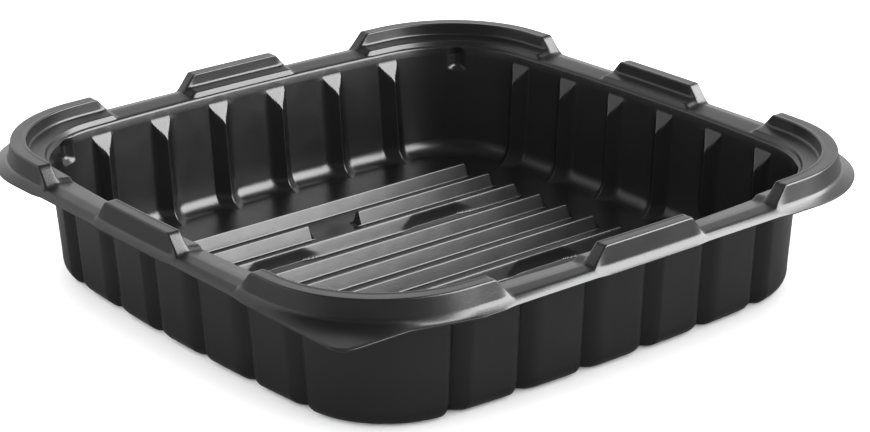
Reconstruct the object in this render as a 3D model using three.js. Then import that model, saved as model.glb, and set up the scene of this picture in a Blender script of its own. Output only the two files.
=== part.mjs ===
// An empty square food tray, formed in one piece from thin black plastic sheet.
//
// The upper face of the sheet is drawn first: a ribbed floor, then rings that climb the fluted walls and
// cross the rim with its eight raised lugs. The whole face is then given the sheet's thickness.
// Millimetres, +Z up. The middle of the floor is over the origin and z = 0 is what the tray stands on.
// The walls face +X, +Y, -X and -Y, and the pull tab is at the corner between -X and -Y.

import * as THREE from "three";
import { mergeVertices } from "three/addons/utils/BufferGeometryUtils.js";

const DEG = Math.PI / 180;
const QUARTERS = 4;

// The sheet's thickness after forming, and how gently corners are moved by it where facets nearly line up.
const SHEET = 0.7;
const SOFTENING = 0.004;
const SAME_PLACE = 1e-3;

// Every ring round the tray is a square with rounded corners whose sides bow outwards a little. Its half
// is measured from the tray's middle to the middle of a side. Its bow is how much nearer it is at BOW_AT.
const BOW_AT = 105;
const WALL_BOW = 5.6;

// Floor and walls, on the sheet's upper face.
const FLOOR_Z = SHEET;
const FLOOR_HALF = 102.9;
const FLOOR_CORNER = 30.5;
const FOOT_FILLET = 6.6;
const FILLET_STEPS = 3;
const DRAFT = 4 * DEG;
const RIM_CORNER = 39.5;

// Flutes: V-shaped folds that stand inwards, six to a side, each with a sloping ramp at its head.
const FLUTE_PITCH = 28;
const FLUTE_WIDTH = 9;
const FLUTE_DEPTH = 3.6;
const RAMP_FOOT_Z = 35.1;
const RAMP_HEAD_Z = 42.3;

// Rim. Its inner edge is rounded, the flange swells up out of it and a short lip drops at the outside.
const RIM_Z = 45.9;
const FLANGE_Z = 47.4;
const RIM_ROUND = 0.9;

// Lugs: one over each corner and one in the middle of each side. Foot and top are places along the side.
const LUG_TOP_Z = 54;
const MIDDLE_LUG = { foot: 25.5, top: 19.8 };
const CORNER_LUG = { foot: 60.3, top: 66.3 };
const LEAST_LEAN = 0.4;

// Corner stations are rays from a point this far from the middle in X and in Y. Lines are found by halving.
const RAY_ORIGIN = 76;
const CORNER_RAYS = 11;
const LONGEST_RAY = 90;
const HALVINGS = 40;

// Pull tab, in the corner's own frame: a runs along the first side and b out from it.
const TAB_CORNER = 2;
const TAB_REACH = 120.4;
const TAB_TIP_ROUND = 6;
const TAB_KINK = 99.4;
const TAB_END = 75.5;
const TAB_MARGIN = 0.8;

// Floor ribs, which run along X. Their sides slope, and so do their ends.
const RIB_COUNT = 10;
const RIB_PITCH = 15.9;
const RIB_TOP_Z = 6.1;
const RIB_TOP_HALF = 0.55;
const RIB_SIDE_RUN = 2.2;
const RIB_END_RUN = 2.2;
const RIB_HALF_LENGTH = 79.5;
const GAP_RIB = 1;
const GAP_HALF = 12.3;
const GAP_TAPER = 0.15;
const NOTCHED_RIBS = [2, 6];
const NOTCH_AT = 38;
const NOTCH_TOP_HALF = 10.5;
const NOTCH_FOOT_HALF = 18.7;
const NOTCH_RUN = 1.2;
const SHOULDER_DROP = 0.25;

// The rings of the flange: where each lies between lugs, and where it lies on a lug.
const RIM_RINGS = [
  {
    flat: { half: 117.6, bow: 4.6, corner: 43, z: 47.3 },
    lug: { half: 117.6, bow: 4.6, corner: 43, z: 49.1 },
  },
  {
    flat: { half: 119.6, bow: 3.6, corner: 45, z: FLANGE_Z },
    lug: { half: 119.8, bow: 3.6, corner: 45, z: LUG_TOP_Z },
  },
  {
    flat: { half: 124, bow: 2, corner: 48, z: 47 },
    lug: { half: 124, bow: 3.5, corner: 48, z: LUG_TOP_Z },
  },
  {
    flat: { half: 125.2, bow: 1.9, corner: 51, z: 46.3 },
    lug: { half: 125.5, bow: 1.9, corner: 51, z: 47.2 },
  },
  {
    flat: { half: 125.9, bow: 0.3, corner: 48, z: 45 },
    lug: { half: 126.3, bow: 0.1, corner: 48, z: 44.7 },
    tabMargin: TAB_MARGIN,
  },
  {
    flat: { half: 126.5, bow: 0.2, corner: 48, z: 44.4 },
    lug: { half: 127.1, bow: 0, corner: 48, z: 44.4 },
    tabMargin: 0,
  },
];

// ---- Lines round the tray ----

function sideLine(ring, t) {
  return ring.half - ring.bow * (t / BOW_AT) ** 2;
}

// The corner arc touches both bowed sides, so its middle lies on the diagonal.
function cornerArc(ring) {
  let low = 0;
  let high = ring.half;
  for (let step = 0; step < HALVINGS; step += 1) {
    const t = (low + high) / 2;
    const slope = (-2 * ring.bow * t) / BOW_AT ** 2;
    const size = Math.hypot(slope, 1);
    const a = t + (ring.corner * slope) / size;
    const b = sideLine(ring, t) - ring.corner / size;
    if (a < b) low = t;
    else high = t;
  }
  const slope = (-2 * ring.bow * low) / BOW_AT ** 2;
  return { start: low, middle: low + (ring.corner * slope) / Math.hypot(slope, 1) };
}

function insideRing(ring, a, b) {
  const arc = cornerArc(ring);
  const near = Math.min(a, b);
  const far = Math.max(a, b);
  if (near < arc.start) return far < sideLine(ring, near);
  return Math.hypot(near - arc.middle, far - arc.middle) < ring.corner;
}

// The tab's outline: straight along b, a rounded tip, straight along a, a kink, and back to the flange.
function insideTab(ring, margin, a, b) {
  const back = THREE.MathUtils.clamp((TAB_KINK - b) / (TAB_KINK - TAB_END), 0, 1);
  const tip = TAB_REACH - margin;
  const reach = tip + (ring.half - tip) * back;
  if (a > reach || b > ring.half) return false;
  if (margin > 0 && !insideRing(ring, a, b)) return false;
  const overA = a - (tip - TAB_TIP_ROUND);
  const overB = b - (ring.half - TAB_TIP_ROUND);
  return overA < 0 || overB < 0 || Math.hypot(overA, overB) < TAB_TIP_ROUND;
}

// How far a ray from the corner's ray origin goes before it leaves a line.
function rayLength(isInside, angle) {
  let low = 0;
  let high = LONGEST_RAY;
  for (let step = 0; step < HALVINGS; step += 1) {
    const length = (low + high) / 2;
    const a = RAY_ORIGIN + length * Math.sin(angle);
    const b = RAY_ORIGIN + length * Math.cos(angle);
    if (isInside(a, b)) low = length;
    else high = length;
  }
  return low;
}

// ---- Rings, from the floor's edge outwards ----

function wallRing(z, fluted) {
  const top = FOOT_FILLET * Math.cos(DRAFT);
  const height = z - FLOOR_Z - FOOT_FILLET * (1 - Math.sin(DRAFT));
  const share = (z - FLOOR_Z) / (RIM_Z - FLOOR_Z);
  const foot = FLOOR_CORNER + FOOT_FILLET;
  return {
    half: FLOOR_HALF + top + height * Math.tan(DRAFT),
    bow: WALL_BOW,
    corner: foot + (RIM_CORNER - foot) * share,
    z,
    depth: fluted ? FLUTE_DEPTH : 0,
  };
}

function filletRing(step) {
  const angle = ((90 * DEG - DRAFT) * step) / FILLET_STEPS;
  const out = FOOT_FILLET * Math.sin(angle);
  return {
    half: FLOOR_HALF + out,
    bow: WALL_BOW,
    corner: FLOOR_CORNER + out,
    z: FLOOR_Z + FOOT_FILLET * (1 - Math.cos(angle)),
    depth: FLUTE_DEPTH,
  };
}

function tallRings() {
  const rings = [];
  for (let step = 0; step <= FILLET_STEPS; step += 1) rings.push(filletRing(step));
  const rimLow = wallRing(RIM_Z - RIM_ROUND, false);
  const rimHigh = { ...rimLow, half: rimLow.half + RIM_ROUND, corner: rimLow.corner + RIM_ROUND, z: RIM_Z };
  rings.push(wallRing(RAMP_FOOT_Z, true), wallRing(RAMP_HEAD_Z, false), rimLow, rimHigh);
  return rings.concat(RIM_RINGS);
}

// ---- Stations round the tray: one side, then the corner after it ----

// Half a side, then its mirror. Wall and rim say where a station lies along the side: on the walls it
// follows the flutes, and on the rim the ends of the lugs.
function sideStations() {
  const half = [{ wall: 0, rim: 0, lug: 1 }];
  const foot = FLUTE_WIDTH / 2;
  const flute = (number, lug, rim) => {
    const t = (number + 0.5) * FLUTE_PITCH;
    half.push({ wall: t - foot, rim: rim[0], lug });
    half.push({ wall: t, rim: rim[1], lug, flute: true });
    half.push({ wall: t + foot, rim: rim[2], lug });
  };
  flute(0, 1, [9.5, 13, 17]);
  half.push({ wall: 21.5, rim: MIDDLE_LUG.top, lug: 1, end: MIDDLE_LUG });
  half.push({ wall: 27, rim: MIDDLE_LUG.foot, lug: 0 });
  flute(1, 0, [37.5, 42, 46.5]);
  half.push({ wall: 57.5, rim: CORNER_LUG.foot, lug: 0 });
  half.push({ wall: 61.5, rim: CORNER_LUG.top, lug: 1, end: CORNER_LUG });
  flute(2, 1, [68.5, 71, 74.5]);
  const mirrored = half.slice(1).reverse().map((station) => ({ ...station, sign: -1 }));
  return mirrored.concat(half.map((station) => ({ ...station, sign: 1 })));
}

function cornerRays() {
  return Array.from({ length: CORNER_RAYS }, (_, step) => (90 * DEG * step) / (CORNER_RAYS - 1));
}

// A station's place on a ring, as a along the side and b out from it.
function sidePlace(ring, station) {
  const line = ring.flat ? (station.lug ? ring.lug : ring.flat) : ring;
  let t = ring.flat ? station.rim : station.wall;
  if (ring.flat && station.end) {
    const rise = (ring.lug.z - ring.flat.z) / (LUG_TOP_Z - FLANGE_Z);
    const lean = rise > 0 ? THREE.MathUtils.clamp(rise, LEAST_LEAN, 1) : 1;
    t = station.end.foot + (station.end.top - station.end.foot) * lean;
  }
  const sunk = station.flute && ring.depth ? ring.depth : 0;
  return { a: station.sign * t, b: sideLine(line, t) - sunk, z: line.z };
}

function cornerPlace(ring, angle, quarter) {
  const line = ring.lug || ring;
  const tabbed = quarter === TAB_CORNER && ring.tabMargin !== undefined;
  const isInside = (a, b) => (tabbed ? insideTab(line, ring.tabMargin, a, b) : insideRing(line, a, b));
  const length = rayLength(isInside, angle);
  return {
    a: RAY_ORIGIN + length * Math.sin(angle),
    b: RAY_ORIGIN + length * Math.cos(angle),
    z: line.z,
  };
}

function turned(place, quarter) {
  const angle = quarter * 90 * DEG;
  const out = new THREE.Vector3(Math.cos(angle), Math.sin(angle), 0);
  const along = new THREE.Vector3(-Math.sin(angle), Math.cos(angle), 0);
  return out.multiplyScalar(place.b).addScaledVector(along, place.a).setZ(place.z);
}

function ringPoints(ring) {
  const points = [];
  for (let quarter = 0; quarter < QUARTERS; quarter += 1) {
    for (const station of sideStations()) points.push(turned(sidePlace(ring, station), quarter));
    for (const angle of cornerRays()) points.push(turned(cornerPlace(ring, angle, quarter), quarter));
  }
  return points;
}

// ---- Facets of the upper face, as a flat list of corners ----

const face = [];

function addTriangle(a, b, c) {
  face.push(a, b, c);
}

// A quad a, b, c, d is split from a to c, or from b to d.
function addQuad(a, b, c, d, fromSecond) {
  if (fromSecond) {
    addTriangle(b, c, d);
    addTriangle(b, d, a);
  } else {
    addTriangle(a, b, c);
    addTriangle(a, c, d);
  }
}

// Whether the quads that follow each station lean back: they do before a flute's fold and where a lug ends.
function leans() {
  const flags = [];
  for (let quarter = 0; quarter < QUARTERS; quarter += 1) {
    const stations = sideStations();
    stations.forEach((station, index) => {
      const next = stations[index + 1];
      flags.push(Boolean(next && (next.flute || (station.end && !next.lug))));
    });
    cornerRays().forEach(() => flags.push(false));
  }
  return flags;
}

function addWallsAndRim() {
  const rings = tallRings().map(ringPoints);
  const back = leans();
  for (let level = 0; level + 1 < rings.length; level += 1) {
    const inner = rings[level];
    const outer = rings[level + 1];
    inner.forEach((point, index) => {
      const next = (index + 1) % inner.length;
      addQuad(point, outer[index], outer[next], inner[next], back[index]);
    });
  }
  return rings[0];
}

// One cross-section of a rib, from its +Y foot over the top to its -Y foot. lead moves the feet along X.
function ribSection({ x, lead, notched, gapEnd }, y) {
  const plusRun = gapEnd ? RIB_SIDE_RUN - GAP_TAPER : RIB_SIDE_RUN;
  const minusRun = notched ? NOTCH_RUN : plusRun;
  const along = (side, share) => {
    const out = RIB_TOP_HALF + (side > 0 ? plusRun : minusRun) * share;
    const z = THREE.MathUtils.lerp(RIB_TOP_Z, FLOOR_Z, share);
    return new THREE.Vector3(x + lead * share, y + side * out, z);
  };
  return [along(1, 1), along(1, 0), along(-1, 0), along(-1, SHOULDER_DROP), along(-1, 1)];
}

// A rib between two ridge ends. It returns the outline of its foot, for the hole it leaves in the floor.
function addRib(y, from, to, notched) {
  const sections = [{ x: from, lead: -RIB_END_RUN, gapEnd: from === GAP_HALF }];
  for (const middle of notched ? [-NOTCH_AT, NOTCH_AT] : []) {
    sections.push({ x: middle - NOTCH_FOOT_HALF, lead: 0 });
    sections.push({ x: middle - NOTCH_TOP_HALF, lead: 0, notched: true });
    sections.push({ x: middle + NOTCH_TOP_HALF, lead: 0, notched: true });
    sections.push({ x: middle + NOTCH_FOOT_HALF, lead: 0 });
  }
  sections.push({ x: to, lead: RIB_END_RUN, gapEnd: to === -GAP_HALF });
  const lines = sections.map((section) => ribSection(section, y));
  const first = lines[0];
  const last = lines[lines.length - 1];
  for (let index = 0; index + 1 < lines.length; index += 1) {
    const here = lines[index];
    const there = lines[index + 1];
    const intoNotch = Boolean(sections[index + 1].notched);
    addTriangle(first[0], here[1], there[1]);
    for (let row = 1; row + 1 < here.length; row += 1) {
      addQuad(here[row], here[row + 1], there[row + 1], there[row], intoNotch);
    }
  }
  addTriangle(first[0], last[1], last[0]);
  for (let row = 1; row + 1 < first.length; row += 1) {
    addTriangle(first[0], first[row + 1], first[row]);
    addTriangle(last[0], last[row], last[row + 1]);
  }
  return [first[0], last[0], ...lines.map((line) => line[line.length - 1]).reverse()];
}

function addRibs() {
  const outlines = [];
  const firstY = ((RIB_COUNT - 1) / 2) * RIB_PITCH;
  for (let rib = 0; rib < RIB_COUNT; rib += 1) {
    const y = firstY - rib * RIB_PITCH;
    if (rib === GAP_RIB) {
      outlines.push(addRib(y, -RIB_HALF_LENGTH, -GAP_HALF, false));
      outlines.push(addRib(y, GAP_HALF, RIB_HALF_LENGTH, false));
    } else {
      outlines.push(addRib(y, -RIB_HALF_LENGTH, RIB_HALF_LENGTH, NOTCHED_RIBS.includes(rib)));
    }
  }
  return outlines;
}

function addFloor(edge, ribOutlines) {
  const points = [edge, ...ribOutlines].flat();
  for (const [a, b, c] of THREE.ShapeUtils.triangulateShape(edge, ribOutlines)) {
    const across = new THREE.Vector3().subVectors(points[b], points[a]);
    const along = new THREE.Vector3().subVectors(points[c], points[a]);
    const faceUp = across.cross(along).z > 0;
    addTriangle(points[a], points[faceUp ? b : c], points[faceUp ? c : b]);
  }
}

// ---- The sheet's thickness ----

// The move that takes a corner one sheet below all the facets that meet there, by least squares.
function sheetMove(normals) {
  const square = new THREE.Matrix3().set(0, 0, 0, 0, 0, 0, 0, 0, 0);
  const sum = new THREE.Vector3();
  const total = normals.reduce((area, normal) => area + normal.length(), 0);
  for (const scaled of normals) {
    const weight = scaled.length() / total;
    const n = scaled.clone().normalize().toArray();
    for (let row = 0; row < 3; row += 1) {
      for (let column = 0; column < 3; column += 1) {
        square.elements[column * 3 + row] += weight * n[row] * n[column];
      }
    }
    sum.addScaledVector(new THREE.Vector3(...n), weight);
  }
  for (const diagonal of [0, 4, 8]) square.elements[diagonal] += SOFTENING;
  return sum.applyMatrix3(square.invert()).multiplyScalar(-SHEET * (1 + SOFTENING));
}

function thickened(corners) {
  const loose = new THREE.BufferGeometry().setFromPoints(corners);
  const sheet = mergeVertices(loose, SAME_PLACE);
  const index = Array.from(sheet.index.array);
  const count = sheet.getAttribute("position").count;
  const at = (vertex) => new THREE.Vector3().fromBufferAttribute(sheet.getAttribute("position"), vertex);
  const meeting = Array.from({ length: count }, () => []);
  const edges = new Map();
  const triangles = [];
  for (let start = 0; start < index.length; start += 3) {
    const triangle = index.slice(start, start + 3);
    if (new Set(triangle).size < 3) continue;
    triangles.push(triangle);
    const [a, b, c] = triangle.map(at);
    const normal = b.clone().sub(a).cross(c.sub(a));
    triangle.forEach((vertex, place) => {
      meeting[vertex].push(normal);
      edges.set(`${vertex},${triangle[(place + 1) % 3]}`, true);
    });
  }
  const points = [];
  for (let vertex = 0; vertex < count; vertex += 1) points.push(at(vertex));
  for (let vertex = 0; vertex < count; vertex += 1) points.push(at(vertex).add(sheetMove(meeting[vertex])));
  const solid = [];
  for (const [a, b, c] of triangles) solid.push(a, b, c, a + count, c + count, b + count);
  for (const edge of edges.keys()) {
    const [a, b] = edge.split(",").map(Number);
    if (!edges.has(`${b},${a}`)) solid.push(b, a, a + count, b, a + count, b + count);
  }
  return new THREE.BufferGeometry().setFromPoints(points).setIndex(solid);
}

// ---- The tray ----

const floorEdge = addWallsAndRim();
addFloor(floorEdge, addRibs());

const geometry = thickened(face);
geometry.computeVertexNormals();

const blackPlastic = new THREE.MeshStandardMaterial({ color: 0x1b1b1c, roughness: 0.38, metalness: 0 });
const tray = new THREE.Mesh(geometry, blackPlastic);
tray.name = "tray";

const group = new THREE.Group();
group.add(tray);

export default group;
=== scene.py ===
"""The looks of an empty square food tray, formed in one piece from thin black plastic sheet.

The sheet's upper face is one skin: a ribbed floor, fluted walls that rise from it on a soft fillet, and a
rim with eight raised lugs and a pull tab. A Solidify modifier gives the skin the sheet's thickness, and
weighted normals let its large faces look flat beside their small rounded bends.
Shapes are worked out in millimetres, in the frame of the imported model: +Z up, the walls facing +X, +Y, -X
and -Y, and the pull tab at the corner between -X and -Y. They become metres as the mesh is made.
"""

import math

import bpy
import numpy as np
from mathutils import Matrix, Vector


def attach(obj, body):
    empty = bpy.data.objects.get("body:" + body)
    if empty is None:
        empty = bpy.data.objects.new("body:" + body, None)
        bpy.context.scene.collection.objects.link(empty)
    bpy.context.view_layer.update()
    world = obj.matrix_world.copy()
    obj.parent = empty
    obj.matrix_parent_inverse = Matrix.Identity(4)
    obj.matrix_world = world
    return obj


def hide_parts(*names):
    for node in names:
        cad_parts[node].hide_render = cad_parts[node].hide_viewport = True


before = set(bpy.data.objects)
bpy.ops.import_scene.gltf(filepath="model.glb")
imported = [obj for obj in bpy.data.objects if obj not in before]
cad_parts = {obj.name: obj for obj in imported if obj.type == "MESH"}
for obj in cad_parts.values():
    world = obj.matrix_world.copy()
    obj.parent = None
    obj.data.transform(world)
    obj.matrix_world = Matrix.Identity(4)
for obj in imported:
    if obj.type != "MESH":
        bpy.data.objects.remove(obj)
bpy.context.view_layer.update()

MM = 0.001
DEG = math.pi / 180
QUARTERS = 4
SHEET = 0.7

# Rings round the tray are squares with rounded corners and sides that bow outwards. The half is measured
# from the middle of the tray to the middle of a side, and the bow is how much nearer the line is at BOW_AT
# along it.
BOW_AT = 105
WALL_BOW = 5.6

# A value named BEND says how widely a corner between two straight lines is rounded. It is a share of what
# the lines rise by, but RAMP_BEND is in millimetres.

# Floor and walls, on the sheet's upper face. The wall's corner grows with height, up to RIM_CORNER at
# RIM_Z. The inner ring lies on the flat floor inside the flutes, and the floor's grid is stitched to it.
FLOOR_Z = SHEET
FLOOR_HALF = 102.9
FLOOR_CORNER = 30.5
INNER_HALF = 96.5
INNER_CORNER = 26
FOOT_FILLET = 6.6
FILLET_ROWS = 9
DRAFT = 4 * DEG
RIM_CORNER = 39.5
LOWER_ROW_HEIGHTS = (10, 17, 24, 30)
UPPER_ROW_SPAN = (33.4, 43.2)
UPPER_ROWS = 14

# Flutes: V-shaped folds that stand inwards, six to a side, each with a sloping ramp at its head. A
# station's place across a flute is 0 at its ridge and 1 at its foot, and OUTSIDE_FLUTE where there is
# none. CREASE_SHARE of its stations lie between its two creases, and CREASE_RANGE is how near those come
# to the ridge and the feet. The fold runs out softly near its feet, and is less deep by FOLD_LOSS of the
# full depth.
FLUTE_PITCH = 28
FLUTE_HALF = 4.5
FLUTE_DEPTH = 4.4
FLUTE_NOSE = 0.3
FLUTE_STEPS = 10
CREASE_SHARE = 0.4
CREASE_RANGE = (0.1, 0.9)
OUTSIDE_FLUTE = 2
FOLD_BEND = 0.06
FOLD_LOSS = 0.0075
RAMP_FOOT_Z = 35.3
RAMP_HEAD_Z = 42.3
RAMP_BEND = 0.06

# Rim and lugs. The flange's height is its top between lugs. A lug's pair is where its end starts to rise
# and where it is full, as places along a side. A row that rises little still takes LEAST_LEAN of that
# run.
RIM_Z = 45.9
FLANGE_Z = 47.4
LUG_TOP_Z = 54
MIDDLE_LUG = (25.5, 19.8)
CORNER_LUG = (60.3, 66.3)
LEAST_LEAN = 0.4
LUG_BEND = 0.03

# Corners are drawn on rays from a point this far from the middle in X and in Y.
RAY_ORIGIN = 76
CORNER_RAYS = 33
LONGEST_RAY = 90
HALVINGS = 36

# Stations along half a side: where a run of them starts and ends, how many it has, and if it is a flute.
SIDE_RUNS = (
    (0, 9.5, 5, False),
    (9.5, 18.5, FLUTE_STEPS, True),
    (18.5, 27, 12, False),
    (27, 37.5, 5, False),
    (37.5, 46.5, FLUTE_STEPS, True),
    (46.5, 59, 6, False),
    (59, 65.5, 9, False),
    (65.5, 74.5, FLUTE_STEPS, True),
    (74.5, RAY_ORIGIN, 1, False),
)

# Pull tab, in its corner's own frame: a runs along the first side and b out from it. Kink and end are
# places along b, where the tab starts to narrow and where it meets the flange's edge. The margin is how
# far the row before the lip stays inside the tab's outline.
TAB_CORNER = 2
TAB_REACH = 120.4
TAB_TIP_ROUND = 6
TAB_KINK = 99.4
TAB_END = 75.5
TAB_MARGIN = 0.8

# Small pockets in the upper corner walls, one a corner, at these ray angles. POCKET_RADIUS is about how
# far the wall is from the ray origin there. The runs are how far the pocket's sides and foot take to step
# out, and the rim's first rows step out with it by their shares.
POCKET_RAYS = (45, 23, 45, 45)
POCKET_HALF = 3.4
POCKET_DEPTH = 2.2
POCKET_RADIUS = 38
POCKET_SIDE_RUN = 0.8
POCKET_FOOT_RUN = 0.9
POCKET_FOOT_Z = 37
POCKET_BEND = 0.08
POCKET_RIM_SHARES = (1, 0)

# Floor ribs, which run along X. Their sides slope, and so do their ends. One has a gap, and two have
# notches in the side towards -Y.
RIB_COUNT = 10
RIB_PITCH = 15.9
RIB_HEIGHT = 5.4
RIB_TOP_HALF = 0.55
RIB_SIDE_RUN = 2.15
RIB_END_RUN = 2.1
RIB_HALF_LENGTH = 79.5
RIB_BEND = 0.06
RIB_JOIN_BEND = 0.03
GAP_RIB = 1
GAP_HALF = 12.3
NOTCHED_RIBS = (2, 6)
NOTCH_AT = 38
NOTCH_TOP_HALF = 10.5
NOTCH_FOOT_HALF = 18.7
NOTCH_RUN = 0.8
NOTCH_STEP = 1.25

# Lines of the floor's grid. Those along X close in on rib ends, the gap's ends and the notches' slopes.
# Those along Y are given from a rib's middle, and a notched rib has some more on its cut side.
FLOOR_GRID_HALF = 84
GRID_X = (0, 9.9, 10.2, 10.5, 12.1, 12.3, 12.5, 13, 66, 79.2, 79.4, 79.6, 80.1, 81.1, 81.5, 81.8)
NOTCH_SLOPE_LINES = 9
RIB_LINES = (-2.9, -2.7, -2.5, -0.75, -0.55, -0.35, 0.35, 0.55, 0.75, 2.5, 2.7, 2.9)
NOTCH_LINES = (-2.25, -2, -1.75, -1.6, -1.45, -1.3, -1.1, -0.9)

# Noise over the sheet: blobs a metre, and levels of detail.
MOTTLE = (40, 3)
CLOUD = (75, 4)
GRAIN = (1500, 2)
WAVES = (110, 1)

# The sheet's look. Its base colour is lower than the finish's own 0.012, because the room is brighter
# than white to matt surfaces. Fine lines that the tool leaves show on the ramps only. Heights are
# multiples of the bump's distance, which is in metres. NORMAL_WEIGHT is how much more a large face counts
# than a small one where their shading meets.
SHADE_RANGE = (0.005, 0.0075)
BLUE_GAIN = 1.06
ROUGHNESS_RANGE = (0.25, 0.36)
TOOL_LINE_PITCH = 0.8
RAMP_STARTS = 0.02
TOOL_LINE_HEIGHT = 0.22
GRAIN_HEIGHT = 0.4
WAVE_HEIGHT = 1.5
BUMP_STRENGTH = 0.2
BUMP_DISTANCE = 0.0003
NORMAL_WEIGHT = 50

# The floor that the tray stands on: half its width in millimetres, its matt white, and how grey it looks
# in the tray's gloss.
FLOOR_REACH = 4000
PAPER_WHITE = 0.9
PAPER_ROUGHNESS = 0.9
FLOOR_IN_GLOSS = 0.16

# The camera: azimuth, elevation and roll in degrees, its place in metres, and its film and lens in
# millimetres.
CAMERA_ANGLES = (-38.57, 21.03, -0.78)
CAMERA_PLACE = (-0.55707, -0.70732, 0.36932)
SENSOR_WIDTH = 36
LENS = 106.7

# The key light: metres and watts.
KEY_PLACE = (0.89, -1.06, 0.8)
KEY_TARGET = (0, 0, 0.02)
KEY_SIZE = (1.9, 1.5)
KEY_POWER = 118

# The room's brightness. It is 1 to the camera and LIT_WHITE where it lights matt surfaces. In reflections
# it is REFLECTED_HORIZON low down and REFLECTED_WHITE higher up, times REFLECTED_CEILING overhead, times
# REFLECTED_DARK towards DARK_SIDE, where the camera is. FROM and FULL are where each change starts and
# ends: by the direction's height, and for the dark side by how near the direction is to it.
LIT_WHITE = 2.7
REFLECTED_WHITE = 1.1
REFLECTED_DARK = 0.04
REFLECTED_HORIZON = 1.6
HORIZON_FROM = 0.05
HORIZON_FULL = 0.35
REFLECTED_CEILING = 0.12
CEILING_FROM = 0.55
CEILING_FULL = 0.8
DARK_SIDE = (-0.58, -0.73, 0.36)
DARK_FROM = 0.35
DARK_FULL = 0.8

# The rim's broken line between lugs and over a lug, row by row: half, bow, corner and height. Between its
# ends each corner of the line is rounded by its own radius, which takes at most ROUND_SHARE of either
# line it joins. One more row, LIP_EDGE_SHARE of the last line in from the lip, keeps the lip's edge firm.
PLAIN_RIM = np.array(
    [
        (112.2, 5.6, 39.3, 44.1),
        (112.4, 5.6, 39.5, 46.0),
        (113.4, 5.5, 40, 46.5),
        (114.4, 5.3, 41, 46.7),
        (118.4, 4.4, 43, 47.3),
        (119.4, 3.9, 44.6, 47.4),
        (120.6, 3.8, 45.5, 47.5),
        (124.2, 2.4, 48, 46.9),
        (125.4, 1.5, 50, 46.1),
        (126.1, 0.4, 48, 45.2),
        (126.5, 0.2, 48, 44.5),
    ]
)
LUG_RIM = np.array(
    [
        (112.2, 5.6, 39.3, 44.1),
        (112.4, 5.6, 39.5, 46.0),
        (113.4, 5.5, 40, 46.4),
        (113.9, 5.3, 40.4, 48.4),
        (118.9, 4.3, 43.4, 49.1),
        (119.2, 3.9, 44.6, 54.1),
        (120.5, 3.8, 45.5, 53.8),
        (124.2, 3.3, 48, 54),
        (124.9, 1.9, 50, 46.6),
        (126.4, 0.1, 48, 44.9),
        (127, 0, 48, 44.5),
    ]
)
RIM_ROUNDS = (0.6, 0.4, 0.6, 0.9, 0.6, 0.5, 0.6, 1.1, 0.5)
ROUND_STEPS = 3
ROUND_SHARE = 0.48
LIP_EDGE_SHARE = 0.25
LEAST_LENGTH = 1e-9
DROP_ROW = 9
LIP_ROW = 10


# ---- Small shapes that the others are built from ----


def soft_clamp(x, bend):
    """Rises with x from 0 to 1, with both bends rounded: half of root(xx + bend bend) less the same root
    of x - 1, plus a half."""
    return 0.5 * (np.sqrt(x * x + bend * bend) - np.sqrt((x - 1) ** 2 + bend * bend) + 1)


def soft_least(a, b, bend):
    """The smaller of two heights, rounded where they cross: their mean less half of
    root(gap gap + bend bend)."""
    return 0.5 * (a + b - np.sqrt((a - b) ** 2 + bend * bend))


def side_line(half, bow, t):
    """A side's distance from the middle: the half less the bow times the square of t over BOW_AT."""
    return half - bow * (t / BOW_AT) ** 2


def corner_arc(half, bow, corner):
    """The arc of radius `corner` that touches both bowed sides. Its middle is on the diagonal, where a
    point one radius in from the side, square to it, has equal a and b. Returns where it starts and its
    middle."""
    low = np.zeros_like(half)
    high = half.copy()
    for _ in range(HALVINGS):
        t = (low + high) / 2
        slope = -2 * bow * t / BOW_AT**2
        size = np.hypot(slope, 1)
        inner = t + corner * slope / size < side_line(half, bow, t) - corner / size
        low = np.where(inner, t, low)
        high = np.where(inner, high, t)
    slope = -2 * bow * low / BOW_AT**2
    return low, low + corner * slope / np.hypot(slope, 1)


def inside_ring(rings, a, b):
    """True where a, b is inside a ring: nearer than the side's line, or within the corner's arc."""
    half, bow, corner = (rings[:, column, None] for column in range(3))
    start, middle = corner_arc(half, bow, corner)
    near = np.minimum(a, b)
    far = np.maximum(a, b)
    by_side = far < side_line(half, bow, near)
    by_arc = np.hypot(near - middle, far - middle) < corner
    return np.where(near < start, by_side, by_arc)


def inside_tab(rings, margin, a, b):
    """True inside the tab's outline, less a margin at its tip: straight along b, a rounded tip, straight
    along a, a kink, and back to the flange's edge."""
    half = rings[:, 0, None]
    back = np.clip((TAB_KINK - b) / (TAB_KINK - TAB_END), 0, 1)
    tip = TAB_REACH - margin
    reach = tip + (half - tip) * back
    over_a = a - (tip - TAB_TIP_ROUND)
    over_b = b - (half - TAB_TIP_ROUND)
    rounded = (over_a < 0) | (over_b < 0) | (np.hypot(over_a, over_b) < TAB_TIP_ROUND)
    return (a < reach) & (b < half) & rounded


def on_rays(length, angles):
    """The places, as a and b, that are so far from the ray origin along each ray."""
    return RAY_ORIGIN + length * np.sin(angles), RAY_ORIGIN + length * np.cos(angles)


def ray_lengths(inside, count, angles):
    """How far each ray from the ray origin goes before it leaves each of `count` lines, found by
    halving."""
    low = np.zeros((count, len(angles)))
    high = np.full_like(low, LONGEST_RAY)
    for _ in range(HALVINGS):
        length = (low + high) / 2
        within = inside(*on_rays(length, angles))
        low = np.where(within, length, low)
        high = np.where(within, high, length)
    return low


# ---- Stations along a side and rows up the wall ----


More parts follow.
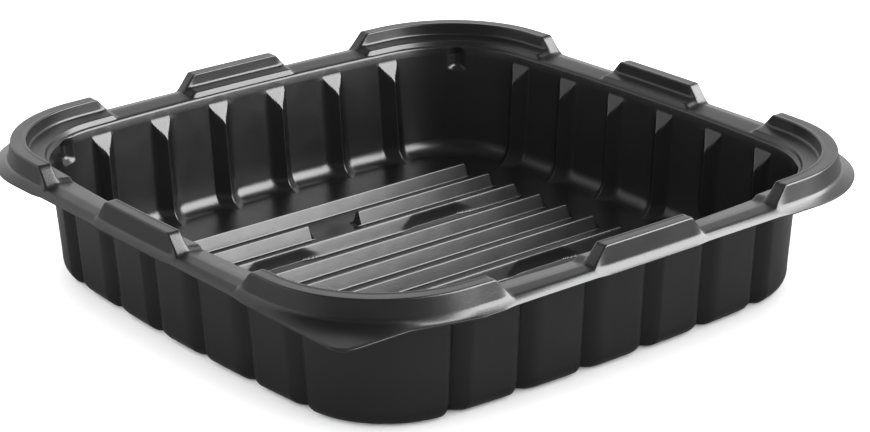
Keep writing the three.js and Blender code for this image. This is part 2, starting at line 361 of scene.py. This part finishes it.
def side_stations():
    """Stations along a side, closer together at flutes and lug ends. Returns each one's place t, the
    middle of its flute (0 where there is none), and whether it is in a flute."""
    t = np.concatenate([np.linspace(low, high, steps, endpoint=False) for low, high, steps, _ in SIDE_RUNS])
    fluted = np.concatenate([np.full(steps, flute) for _, _, steps, flute in SIDE_RUNS])
    middle = np.where(fluted, (np.floor(t / FLUTE_PITCH) + 0.5) * FLUTE_PITCH, 0)
    both = np.concatenate([-t[:0:-1], t])
    middles = np.concatenate([-middle[:0:-1], middle])
    flutes = np.concatenate([fluted[:0:-1], fluted])
    return both, middles, flutes


def wall_rows():
    """Rings from the flat floor to just under the rim, as half, bow, corner and height: one inside the
    flutes, a fillet, then a wall that leans out by the draft. The corner radius grows evenly up the
    wall."""
    angle = (90 * DEG - DRAFT) * np.linspace(0, 1, FILLET_ROWS)
    out = FOOT_FILLET * np.sin(angle)
    foot_z = FLOOR_Z + FOOT_FILLET * (1 - np.cos(angle))
    z = np.concatenate([LOWER_ROW_HEIGHTS, np.linspace(*UPPER_ROW_SPAN, UPPER_ROWS)])
    top = FOOT_FILLET * np.cos(DRAFT)
    height = z - FLOOR_Z - FOOT_FILLET * (1 - np.sin(DRAFT))
    foot = FLOOR_CORNER + FOOT_FILLET
    half = np.concatenate([FLOOR_HALF + out, FLOOR_HALF + top + height * np.tan(DRAFT)])
    grown = foot + (RIM_CORNER - foot) * (z - FLOOR_Z) / (RIM_Z - FLOOR_Z)
    corner = np.concatenate([FLOOR_CORNER + out, grown])
    bow = np.full_like(half, WALL_BOW)
    rings = np.stack([half, bow, corner, np.concatenate([foot_z, z])], axis=1)
    return np.concatenate([[(INNER_HALF, WALL_BOW, INNER_CORNER, FLOOR_Z)], rings])


def flute_places(z, stations):
    """Where each station lies at height z, how deep its flute is there, and how far up the ramp it is.
    Stations in a flute gather on its creases: the ridge below the ramp, and the ramp's two edges beside
    it. Depth is the smaller of the fold, which falls evenly from the ridge to both feet, and the ramp,
    which falls evenly with height."""
    t, middle, fluted = stations
    share = (t - middle) / FLUTE_HALF
    level = (z[:, None] - RAMP_FOOT_Z) / (RAMP_HEAD_Z - RAMP_FOOT_Z)
    crease = np.clip(level, *CREASE_RANGE)
    size = np.abs(share)[None, :]
    inner = size / CREASE_SHARE * crease
    outer = crease + (1 - crease) * (size - CREASE_SHARE) / (1 - CREASE_SHARE)
    warped = np.sign(share) * np.where(size < CREASE_SHARE, inner, outer)
    place = np.where(fluted, middle + FLUTE_HALF * warped, t)
    across = np.where(fluted, warped, OUTSIDE_FLUTE)
    nose = FLUTE_NOSE / FLUTE_HALF
    fold = 1 + nose - np.sqrt(across**2 + nose**2)
    fold = 0.5 * (fold + np.sqrt(fold**2 + FOLD_BEND**2)) - FOLD_LOSS
    depth = soft_least(FLUTE_DEPTH * fold, FLUTE_DEPTH * (1 - level), RAMP_BEND)
    return place, np.where(fluted, np.maximum(depth, 0), 0), np.where(fluted & (level > 0), level, 0)


def corner_places(rings):
    """The corner's ray angles, and how far each ray goes before it leaves each ring."""
    angles = np.linspace(0, 90, CORNER_RAYS) * DEG
    length = ray_lengths(lambda a, b: inside_ring(rings, a, b), len(rings), angles)
    return angles, length


def pocket_depth(angles, z, quarter):
    """How far the corner wall steps out at a pocket: a window across the ray angles times a step up at
    the pocket's foot."""
    arc = (angles / DEG - POCKET_RAYS[quarter]) * DEG * POCKET_RADIUS
    across = soft_clamp((POCKET_HALF - np.abs(arc)) / POCKET_SIDE_RUN + 0.5, POCKET_BEND)
    up = soft_clamp((z - POCKET_FOOT_Z) / POCKET_FOOT_RUN + 0.5, POCKET_BEND)
    return POCKET_DEPTH * across[None, :] * up[:, None]


def wall_points(stations, quarter):
    """Rows of wall points, as a, b, z, and how far up a ramp each is. A row is the side's stations, less
    their flute depth, then the corner's rays. The first row stays plain, as the floor is stitched to
    it."""
    rings = wall_rows()
    place, depth, ramp = flute_places(rings[:, 3], stations)
    depth[0] = 0
    b = side_line(rings[:, 0:1], rings[:, 1:2], place) - depth
    angles, length = corner_places(rings)
    length = length + pocket_depth(angles, rings[:, 3], quarter)
    corner_a, corner_b = on_rays(length, angles)
    across = np.concatenate([place, corner_a], axis=1)
    out = np.concatenate([b, corner_b], axis=1)
    height = np.broadcast_to(rings[:, 3:4], across.shape)
    flat = np.zeros_like(length)
    return np.stack([across, out, height], axis=2), np.concatenate([ramp, flat], axis=1)


def lug_share(t):
    """How much of a lug stands at t, row by row, from 0 to 1. Each end is one slope from foot to top, so
    a row that rises less is full sooner, by its rise over the lug's."""
    rise = (LUG_RIM[:, 3] - PLAIN_RIM[:, 3]) / (LUG_TOP_Z - FLANGE_Z)
    lean = np.where(rise > 0, np.clip(rise, LEAST_LEAN, 1), 1)[:, None]
    size = np.abs(t)[None, :]
    foot, top = MIDDLE_LUG
    middle = soft_clamp((foot - size) / (foot - top) / lean, LUG_BEND)
    foot, top = CORNER_LUG
    corner = soft_clamp((size - foot) / (top - foot) / lean, LUG_BEND)
    return np.maximum(middle, corner)


def rim_points(stations, quarter):
    """Rows of rim points, as a, b, z: the plain line and the lug's line mixed along the side, and the
    lug's line round the corner, with the pocket's step at its inner edge, and out to the tab's outline at
    the tab's corner. Corners of the line are rounded."""
    t = stations[0]
    share = lug_share(t)
    plain = side_line(PLAIN_RIM[:, 0:1], PLAIN_RIM[:, 1:2], t)
    lug = side_line(LUG_RIM[:, 0:1], LUG_RIM[:, 1:2], t)
    b = plain + (lug - plain) * share
    z = PLAIN_RIM[:, 3:4] + (LUG_RIM[:, 3:4] - PLAIN_RIM[:, 3:4]) * share
    angles, length = corner_places(LUG_RIM)
    if quarter == TAB_CORNER:
        lip = LUG_RIM[LIP_ROW:]
        length[LIP_ROW] = ray_lengths(lambda a, b: inside_tab(lip, 0, a, b), 1, angles)[0]
        within = ray_lengths(lambda a, b: inside_tab(lip, TAB_MARGIN, a, b), 1, angles)[0]
        length[DROP_ROW] = np.minimum(within, length[LIP_ROW] - TAB_MARGIN)
    share = np.zeros(len(LUG_RIM))
    share[: len(POCKET_RIM_SHARES)] = POCKET_RIM_SHARES
    length = length + pocket_depth(angles, LUG_RIM[:, 3], quarter) * share[:, None]
    corner_a, corner_b = on_rays(length, angles)
    across = np.concatenate([np.broadcast_to(t, b.shape), corner_a], axis=1)
    out = np.concatenate([b, corner_b], axis=1)
    height = np.concatenate([z, np.broadcast_to(LUG_RIM[:, 3:4], length.shape)], axis=1)
    return rounded_rows(np.stack([across, out, height], axis=2))


def rounded_rows(line):
    """Rounds the corners of many broken lines at once, and leaves out their first point. A corner becomes
    a curve from a place on the line before it to one on the line after it: the corner, plus the way to
    the first place times the square of 1 - s, plus the way to the second times the square of s."""
    corner = line[1:-1]
    before = line[:-2] - corner
    after = line[2:] - corner
    radius = np.array(RIM_ROUNDS)[:, None, None]
    before_size = np.linalg.norm(before, axis=2, keepdims=True) + LEAST_LENGTH
    after_size = np.linalg.norm(after, axis=2, keepdims=True) + LEAST_LENGTH
    start = before * np.minimum(radius / before_size, ROUND_SHARE)
    end = after * np.minimum(radius / after_size, ROUND_SHARE)
    s = np.linspace(0, 1, ROUND_STEPS)[None, :, None, None]
    curve = corner[:, None] + start[:, None] * (1 - s) ** 2 + end[:, None] * s**2
    rows = curve.reshape(-1, line.shape[1], 3)
    edge = line[-1:] + (line[-2:-1] - line[-1:]) * LIP_EDGE_SHARE
    return np.concatenate([rows, edge, line[-1:]])


# ---- Floor ----


def mirrored(values):
    """Places and their mirror, as one array."""
    return np.concatenate([-values, values])


def floor_lines():
    """The places of the grid's lines, along X and along Y."""
    low_slope = np.linspace(NOTCH_AT - NOTCH_FOOT_HALF, NOTCH_AT - NOTCH_TOP_HALF, NOTCH_SLOPE_LINES)
    high_slope = np.linspace(NOTCH_AT + NOTCH_TOP_HALF, NOTCH_AT + NOTCH_FOOT_HALF, NOTCH_SLOPE_LINES)
    x = mirrored(np.concatenate([GRID_X, low_slope, [NOTCH_AT], high_slope, [FLOOR_GRID_HALF]]))
    middle = ((RIB_COUNT - 1) / 2 - np.arange(RIB_COUNT)) * RIB_PITCH
    notched = RIB_LINES + NOTCH_LINES
    lines = [y + np.array(notched if rib in NOTCHED_RIBS else RIB_LINES) for rib, y in enumerate(middle)]
    y = np.concatenate([[-FLOOR_GRID_HALF, FLOOR_GRID_HALF], middle - RIB_PITCH / 2, *lines])
    return np.unique(x), np.unique(y)


def rib_height(x, y):
    """The floor's height. A rib is the least of its two sloping sides and its two sloping ends, with
    rounded bends. Where a rib is notched, the side towards -Y is also under a steep plane that runs out
    along X."""
    rib = np.clip(np.round((RIB_COUNT - 1) / 2 - y / RIB_PITCH), 0, RIB_COUNT - 1)
    off = y - ((RIB_COUNT - 1) / 2 - rib) * RIB_PITCH
    side = (RIB_TOP_HALF + RIB_SIDE_RUN - np.abs(off)) / RIB_SIDE_RUN
    end = (RIB_HALF_LENGTH + RIB_END_RUN - np.abs(x)) / RIB_END_RUN
    gap = (np.abs(x) - GAP_HALF + RIB_END_RUN) / RIB_END_RUN
    end = np.where(rib == GAP_RIB, np.minimum(end, gap), end)
    past_top = np.abs(np.abs(x) - NOTCH_AT) - NOTCH_TOP_HALF
    away = np.clip(past_top / (NOTCH_FOOT_HALF - NOTCH_TOP_HALF), 0, 1)
    foot = RIB_TOP_HALF + RIB_SIDE_RUN - NOTCH_STEP
    notch = (foot + NOTCH_STEP * away + off) / NOTCH_RUN
    cut = np.isin(rib, NOTCHED_RIBS) & (off < 0)
    side = np.where(cut, soft_least(side, notch, RIB_JOIN_BEND), side)
    height = soft_least(soft_clamp(side, RIB_BEND), soft_clamp(end, RIB_BEND), RIB_JOIN_BEND)
    return FLOOR_Z + RIB_HEIGHT * np.maximum(height, 0)


def floor_mesh():
    """The floor's grid of points and quads, and the indices of its border, counterclockwise."""
    x, y = floor_lines()
    grid_x, grid_y = np.meshgrid(x, y)
    points = np.stack([grid_x, grid_y, rib_height(grid_x, grid_y)], axis=2).reshape(-1, 3)
    index = np.arange(len(points)).reshape(len(y), len(x))
    quads = np.stack([index[:-1, :-1], index[:-1, 1:], index[1:, 1:], index[1:, :-1]], axis=2).reshape(-1, 4)
    border = np.concatenate([index[0, :-1], index[:-1, -1], index[-1, :0:-1], index[:0:-1, 0]])
    return points, quads, border


def stitched(points, inner, outer):
    """Triangles between two closed lines that turn the same way. Their points are taken in order of angle
    round the middle, and each makes a triangle with the last point of its own line and of the other."""
    angle = np.arctan2(points[:, 1], points[:, 0])
    inner = inner[np.argsort(angle[inner])]
    outer = outer[np.argsort(angle[outer])]
    order = np.argsort(np.concatenate([angle[inner], angle[outer]]), kind="stable")
    is_inner = order < len(inner)
    seen_inner = np.cumsum(is_inner)
    seen_outer = np.cumsum(~is_inner)
    last_inner = inner[(seen_inner - 1) % len(inner)]
    last_outer = outer[(seen_outer - 1) % len(outer)]
    from_inner = np.stack([inner[(seen_inner - 2) % len(inner)], last_outer, last_inner], axis=1)
    from_outer = np.stack([last_inner, outer[(seen_outer - 2) % len(outer)], last_outer], axis=1)
    return np.where(is_inner[:, None], from_inner, from_outer)


# ---- The whole skin ----


def tray_skin():
    """All points of the upper face, its quads, the triangles that join its floor to its walls, and two
    values a point by name: how far up a ramp it is, and its place along its side. Each quarter is a side
    and the corner after it, turned by its number of right angles."""
    stations = side_stations()
    sheets = []
    ramps = []
    places = []
    for quarter in range(QUARTERS):
        wall, ramp = wall_points(stations, quarter)
        rim = rim_points(stations, quarter)
        rows = np.concatenate([wall, rim])
        angle = quarter * 90 * DEG
        out = np.array([math.cos(angle), math.sin(angle), 0])
        along = np.array([-math.sin(angle), math.cos(angle), 0])
        up = np.array([0, 0, 1])
        sheets.append(rows[..., 1:2] * out + rows[..., 0:1] * along + rows[..., 2:3] * up)
        ramps.append(np.concatenate([ramp, np.zeros(rim.shape[:2])]))
        places.append(rows[..., 0])
    sheet = np.concatenate(sheets, axis=1)
    ramp = np.concatenate(ramps, axis=1)
    place = np.concatenate(places, axis=1)
    floor_points, floor_quads, border = floor_mesh()
    index = np.arange(sheet.shape[0] * sheet.shape[1]).reshape(sheet.shape[:2]) + len(floor_points)
    after = np.roll(index, -1, axis=1)
    quads = np.stack([index[:-1], index[1:], after[1:], after[:-1]], axis=2).reshape(-1, 4)
    points = np.concatenate([floor_points, sheet.reshape(-1, 3)])
    band = stitched(points, border, index[0])
    on_ramp = np.concatenate([np.zeros(len(floor_points)), ramp.ravel()])
    along_side = np.concatenate([np.zeros(len(floor_points)), place.ravel()])
    return points, np.concatenate([floor_quads, quads]), band, {"ramp": on_ramp, "along": along_side}


def make_mesh(name, points, quads, triangles):
    """A mesh object from arrays of points in millimetres, quads and triangles, shaded smooth."""
    mesh = bpy.data.meshes.new(name)
    mesh.vertices.add(len(points))
    mesh.vertices.foreach_set("co", (points * MM).ravel())
    corners = np.concatenate([quads.ravel(), triangles.ravel()])
    sizes = np.concatenate([np.full(len(quads), 4), np.full(len(triangles), 3)])
    mesh.loops.add(len(corners))
    mesh.loops.foreach_set("vertex_index", corners)
    mesh.polygons.add(len(sizes))
    mesh.polygons.foreach_set("loop_start", np.cumsum(sizes) - sizes)
    mesh.update(calc_edges=True)
    mesh.validate()
    mesh.shade_smooth()
    piece = bpy.data.objects.new(name, mesh)
    bpy.context.scene.collection.objects.link(piece)
    return piece


def make_tray(material):
    """The skin with the sheet's thickness below it, shaded so that its large faces look flat."""
    points, quads, band, values = tray_skin()
    tray = make_mesh("tray_sheet", points, quads, band)
    for name, numbers in values.items():
        attribute = tray.data.attributes.new(name, "FLOAT", "POINT")
        attribute.data.foreach_set("value", numbers.astype(np.float32))
    thickness = tray.modifiers.new("sheet", "SOLIDIFY")
    thickness.thickness = SHEET * MM
    thickness.offset = -1
    thickness.use_even_offset = True
    thickness.use_quality_normals = True
    even = tray.modifiers.new("flat_faces", "WEIGHTED_NORMAL")
    even.mode = "FACE_AREA"
    even.weight = NORMAL_WEIGHT
    tray.data.materials.append(material)
    return tray


# ---- Materials ----


def socket(group, name, kind, output=False):
    """A named socket of a node group."""
    way = "OUTPUT" if output else "INPUT"
    group.interface.new_socket(name, in_out=way, socket_type=kind)


def feed(links, slot, value):
    """Sets an input to a plain number, or links a socket to it."""
    if isinstance(value, (int, float)):
        slot.default_value = value
    else:
        links.new(value, slot)


def maths(nodes, links, operation, *values):
    """A Math node whose inputs are sockets or plain numbers. Returns its output."""
    node = nodes.new("ShaderNodeMath")
    node.operation = operation
    for slot, value in zip(node.inputs, values):
        feed(links, slot, value)
    return node.outputs[0]


def spread(nodes, links, value, low, high):
    """A value from 0 to 1 spread evenly over low to high."""
    node = nodes.new("ShaderNodeMapRange")
    node.inputs["To Min"].default_value = low
    node.inputs["To Max"].default_value = high
    links.new(value, node.inputs["Value"])
    return node.outputs["Result"]


def noise(nodes, links, place, scale, detail):
    """Noise from 0 to 1 over object coordinates. Scale is in blobs a metre."""
    node = nodes.new("ShaderNodeTexNoise")
    node.inputs["Scale"].default_value = scale
    node.inputs["Detail"].default_value = detail
    links.new(place, node.inputs["Vector"])
    return node.outputs["Fac"]


def formed_sheet_group():
    """What varies over formed sheet: faint mottling of its black, how rough it is, and the height of its
    grain, its long waves and the fine tool lines on the ramps."""
    group = bpy.data.node_groups.new("formed_sheet", "ShaderNodeTree")
    socket(group, "Place", "NodeSocketVector")
    socket(group, "Ramp", "NodeSocketFloat")
    socket(group, "Along", "NodeSocketFloat")
    socket(group, "Color", "NodeSocketColor", output=True)
    socket(group, "Roughness", "NodeSocketFloat", output=True)
    socket(group, "Height", "NodeSocketFloat", output=True)
    nodes = group.nodes
    links = group.links
    given = nodes.new("NodeGroupInput")
    out = nodes.new("NodeGroupOutput")
    place = given.outputs["Place"]

    mottle = noise(nodes, links, place, *MOTTLE)
    shade = spread(nodes, links, mottle, *SHADE_RANGE)
    color = nodes.new("ShaderNodeCombineColor")
    links.new(shade, color.inputs["Red"])
    links.new(shade, color.inputs["Green"])
    links.new(maths(nodes, links, "MULTIPLY", shade, BLUE_GAIN), color.inputs["Blue"])
    links.new(color.outputs["Color"], out.inputs["Color"])

    cloud = noise(nodes, links, place, *CLOUD)
    links.new(spread(nodes, links, cloud, *ROUGHNESS_RANGE), out.inputs["Roughness"])

    grain = noise(nodes, links, place, *GRAIN)
    waviness = noise(nodes, links, place, *WAVES)
    turns = maths(nodes, links, "MULTIPLY", given.outputs["Along"], 2 * math.pi / TOOL_LINE_PITCH)
    lines = maths(nodes, links, "SINE", turns)
    on_ramp = maths(nodes, links, "GREATER_THAN", given.outputs["Ramp"], RAMP_STARTS)
    lines = maths(nodes, links, "MULTIPLY", lines, on_ramp)
    lines = maths(nodes, links, "MULTIPLY", lines, TOOL_LINE_HEIGHT)
    fine = maths(nodes, links, "MULTIPLY", grain, GRAIN_HEIGHT)
    height = maths(nodes, links, "MULTIPLY_ADD", waviness, WAVE_HEIGHT, fine)
    links.new(maths(nodes, links, "ADD", height, lines), out.inputs["Height"])
    return group


def black_plastic():
    """Satin black formed sheet: nearly black, softly glossy, with fine grain."""
    material = bpy.data.materials.new("black_plastic")
    material.use_nodes = True
    nodes = material.node_tree.nodes
    links = material.node_tree.links
    shader = nodes["Principled BSDF"]
    place = nodes.new("ShaderNodeTexCoord")
    sheet = nodes.new("ShaderNodeGroup")
    sheet.node_tree = formed_sheet_group()
    links.new(place.outputs["Object"], sheet.inputs["Place"])
    for name in ("Ramp", "Along"):
        attribute = nodes.new("ShaderNodeAttribute")
        attribute.attribute_name = name.lower()
        links.new(attribute.outputs["Fac"], sheet.inputs[name])
    bump = nodes.new("ShaderNodeBump")
    bump.inputs["Strength"].default_value = BUMP_STRENGTH
    bump.inputs["Distance"].default_value = BUMP_DISTANCE
    links.new(sheet.outputs["Height"], bump.inputs["Height"])
    links.new(sheet.outputs["Color"], shader.inputs["Base Color"])
    links.new(sheet.outputs["Roughness"], shader.inputs["Roughness"])
    links.new(bump.outputs["Normal"], shader.inputs["Normal"])
    return material


def plain_white():
    """Matt white paper for the floor, that shows only dimly in the tray's gloss."""
    material = bpy.data.materials.new("plain_white")
    material.use_nodes = True
    nodes = material.node_tree.nodes
    links = material.node_tree.links
    shader = nodes["Principled BSDF"]
    path = nodes.new("ShaderNodeLightPath")
    paper = nodes.new("ShaderNodeMix")
    paper.data_type = "RGBA"
    paper.inputs["A"].default_value = (PAPER_WHITE, PAPER_WHITE, PAPER_WHITE, 1)
    paper.inputs["B"].default_value = (FLOOR_IN_GLOSS, FLOOR_IN_GLOSS, FLOOR_IN_GLOSS, 1)
    links.new(path.outputs["Is Glossy Ray"], paper.inputs["Factor"])
    links.new(paper.outputs["Result"], shader.inputs["Base Color"])
    shader.inputs["Roughness"].default_value = PAPER_ROUGHNESS
    shader.inputs["Specular IOR Level"].default_value = 0
    return material


# ---- Studio ----


def make_floor():
    """A large plain floor that the tray stands on."""
    corners = np.array([(-1, -1, 0), (1, -1, 0), (1, 1, 0), (-1, 1, 0)], dtype=float) * FLOOR_REACH
    floor = make_mesh("floor", corners, np.array([(0, 1, 2, 3)]), np.zeros((0, 3), dtype=int))
    floor.data.materials.append(plain_white())


def make_camera():
    """The photo's view: over the corner with the pull tab, down by about 21 degrees, with a long lens and
    a very small roll."""
    camera = bpy.data.objects.new("camera", bpy.data.cameras.new("camera"))
    bpy.context.scene.collection.objects.link(camera)
    azimuth, elevation, roll = (angle * DEG for angle in CAMERA_ANGLES)
    level = math.cos(elevation)
    back = np.array([math.sin(azimuth) * level, -math.cos(azimuth) * level, math.sin(elevation)])
    right = np.cross(-back, (0, 0, 1))
    right = right / np.linalg.norm(right)
    up = np.cross(right, -back)
    turned_right = math.cos(roll) * right + math.sin(roll) * up
    turned_up = -math.sin(roll) * right + math.cos(roll) * up
    axes = np.stack([turned_right, turned_up, back], axis=1)
    camera.rotation_mode = "QUATERNION"
    camera.rotation_quaternion = Matrix(axes.tolist()).to_quaternion()
    camera.location = CAMERA_PLACE
    camera.data.sensor_width = SENSOR_WIDTH
    camera.data.lens = LENS
    bpy.context.scene.camera = camera


def softbox(name, place, target, size, power):
    """A flat rectangular light at `place` that faces `target` and isn't itself seen by the camera."""
    data = bpy.data.lights.new(name, "AREA")
    data.shape = "RECTANGLE"
    data.size, data.size_y = size
    data.energy = power
    light = bpy.data.objects.new(name, data)
    bpy.context.scene.collection.objects.link(light)
    light.location = place
    light.rotation_mode = "QUATERNION"
    light.rotation_quaternion = (Vector(target) - Vector(place)).to_track_quat("-Z", "Y")
    light.visible_camera = False
    return light


def ramped(nodes, links, value, start, end, low, high):
    """A smooth step from low to high as the value goes from start to end."""
    node = nodes.new("ShaderNodeMapRange")
    node.interpolation_type = "SMOOTHSTEP"
    node.inputs["From Min"].default_value = start
    node.inputs["From Max"].default_value = end
    node.inputs["To Min"].default_value = low
    node.inputs["To Max"].default_value = high
    links.new(value, node.inputs["Value"])
    return node.outputs["Result"]


def either(nodes, links, choice, low, high):
    """The low value where the choice is 0, and the high one where it is 1."""
    node = nodes.new("ShaderNodeMix")
    links.new(choice, node.inputs["Factor"])
    feed(links, node.inputs["A"], low)
    feed(links, node.inputs["B"], high)
    return node.outputs["Result"]


def make_world():
    """A white room whose brightness differs by kind of ray. It is plain white to the camera and much
    brighter where it lights matt surfaces. In reflections it is brightest low down and dim overhead, and
    falls to near black on the side that the camera is on."""
    world = bpy.data.worlds.new("studio")
    world.use_nodes = True
    bpy.context.scene.world = world
    nodes = world.node_tree.nodes
    links = world.node_tree.links
    background = nodes["Background"]
    path = nodes.new("ShaderNodeLightPath")
    toward = nodes.new("ShaderNodeTexCoord")
    axes = nodes.new("ShaderNodeSeparateXYZ")
    links.new(toward.outputs["Generated"], axes.inputs["Vector"])
    dot = nodes.new("ShaderNodeVectorMath")
    dot.operation = "DOT_PRODUCT"
    dot.inputs[1].default_value = DARK_SIDE
    links.new(toward.outputs["Generated"], dot.inputs[0])
    height = axes.outputs["Z"]
    wall = ramped(nodes, links, height, HORIZON_FROM, HORIZON_FULL, REFLECTED_HORIZON, REFLECTED_WHITE)
    dim = ramped(nodes, links, height, CEILING_FROM, CEILING_FULL, 1, REFLECTED_CEILING)
    away = dot.outputs["Value"]
    lit = ramped(nodes, links, away, DARK_FROM, DARK_FULL, 1, REFLECTED_DARK)
    reflected = maths(nodes, links, "MULTIPLY", maths(nodes, links, "MULTIPLY", wall, dim), lit)
    unseen = either(nodes, links, path.outputs["Is Diffuse Ray"], reflected, LIT_WHITE)
    strength = either(nodes, links, path.outputs["Is Camera Ray"], unseen, 1)
    links.new(strength, background.inputs["Strength"])
    background.inputs["Color"].default_value = (1, 1, 1, 1)


def light_studio():
    """The white room and one large soft light to the right of the camera. The light shows in gloss only:
    it adds nothing to matt surfaces."""
    make_world()
    key = softbox("key", KEY_PLACE, KEY_TARGET, KEY_SIZE, KEY_POWER)
    key.visible_diffuse = False


# ---- The scene ----

tray = make_tray(black_plastic())
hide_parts("tray")
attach(tray, "root")
make_floor()
make_camera()
light_studio()
bpy.context.scene.view_settings.view_transform = "Standard"
